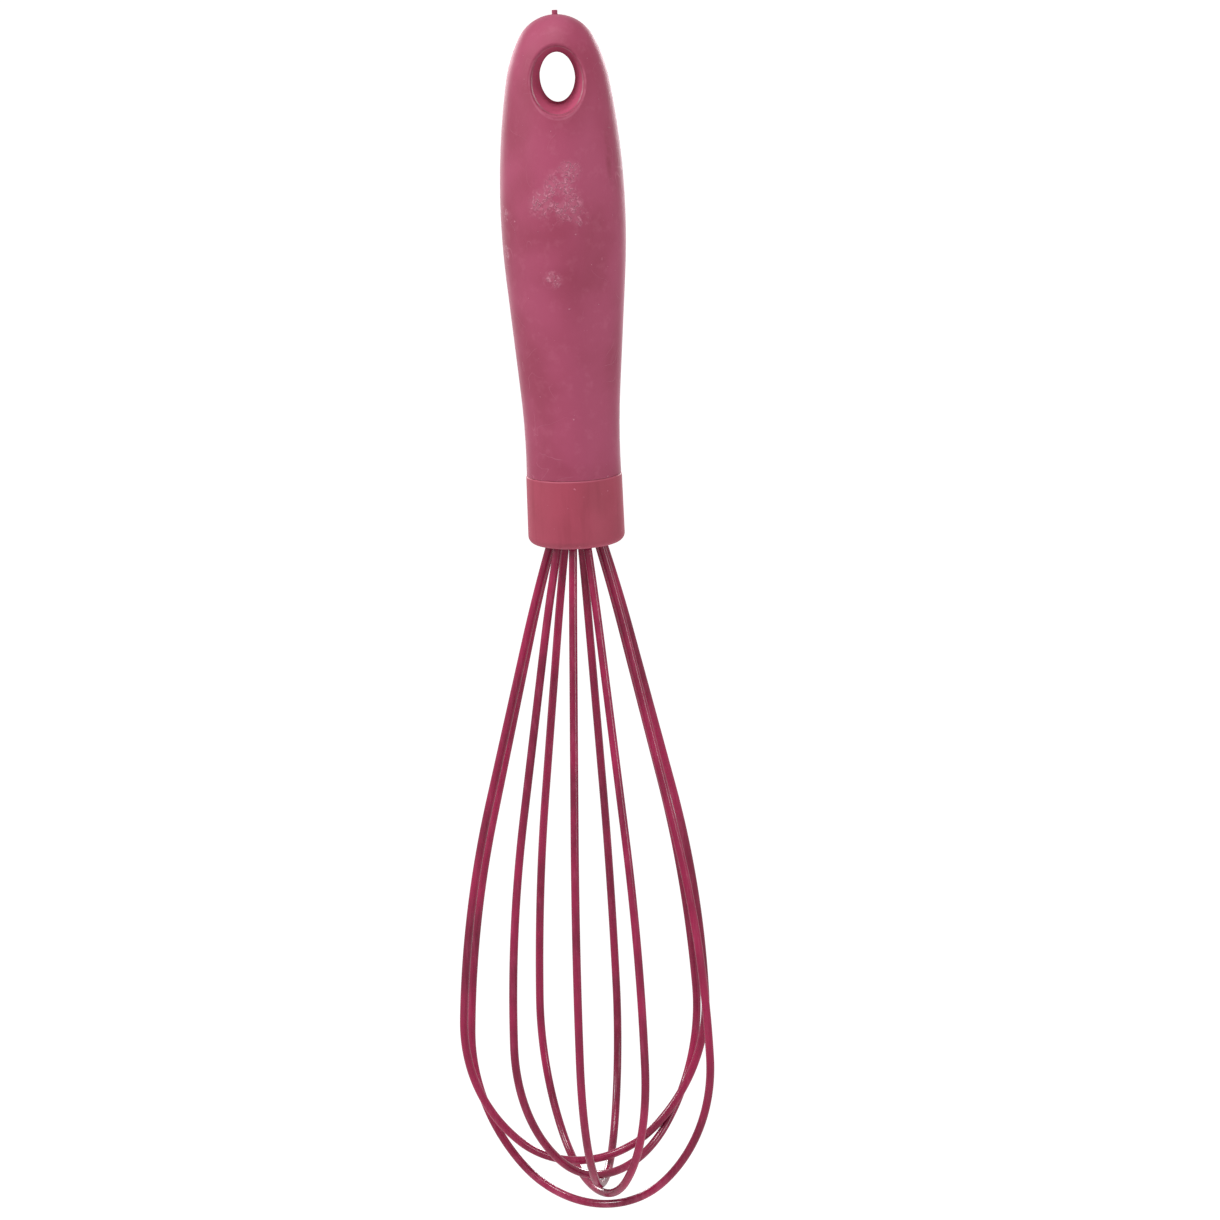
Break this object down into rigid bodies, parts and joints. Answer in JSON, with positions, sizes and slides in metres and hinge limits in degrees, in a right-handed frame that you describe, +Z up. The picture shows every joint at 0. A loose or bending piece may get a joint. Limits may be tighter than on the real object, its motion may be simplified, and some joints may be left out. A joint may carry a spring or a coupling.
{
  "type": "balloon whisk",
  "caption": "Balloon whisk: soft-touch round handle with an oval hanging hole, a smooth collar and nested silicone-coated wire loops for beating and whipping.",
  "frame": {"origin": "middle of the oval hanging hole, on the handle's axis", "axes": "+Z up along the handle's axis with the balloon below, +Y along the hanging hole, +X to the side"},
  "size_m": [0.0629, 0.0658, 0.2992],
  "materials": {
    "soft_grip": "matte",
    "hard_core": "satin",
    "collar": "satin",
    "plug": "satin",
    "plate_steel": "rolled",
    "resin": "cast",
    "wire_steel": "drawn",
    "wire_coat": "satin"
  },
  "bodies": {
    "root": {"grip_sleeve": "soft_grip", "handle_core": "hard_core", "collar": "collar", "wire_plug": "plug", "tail_plate": "plate_steel", "seal_resin": "resin", "loop_wire_1": "wire_steel", "loop_wire_2": "wire_steel", "loop_wire_3": "wire_steel", "loop_wire_4": "wire_steel", "loop_wire_5": "wire_steel", "loop_coat_1": "wire_coat", "loop_coat_2": "wire_coat", "loop_coat_3": "wire_coat", "loop_coat_4": "wire_coat", "loop_coat_5": "wire_coat"}
  },
  "joints": []
}
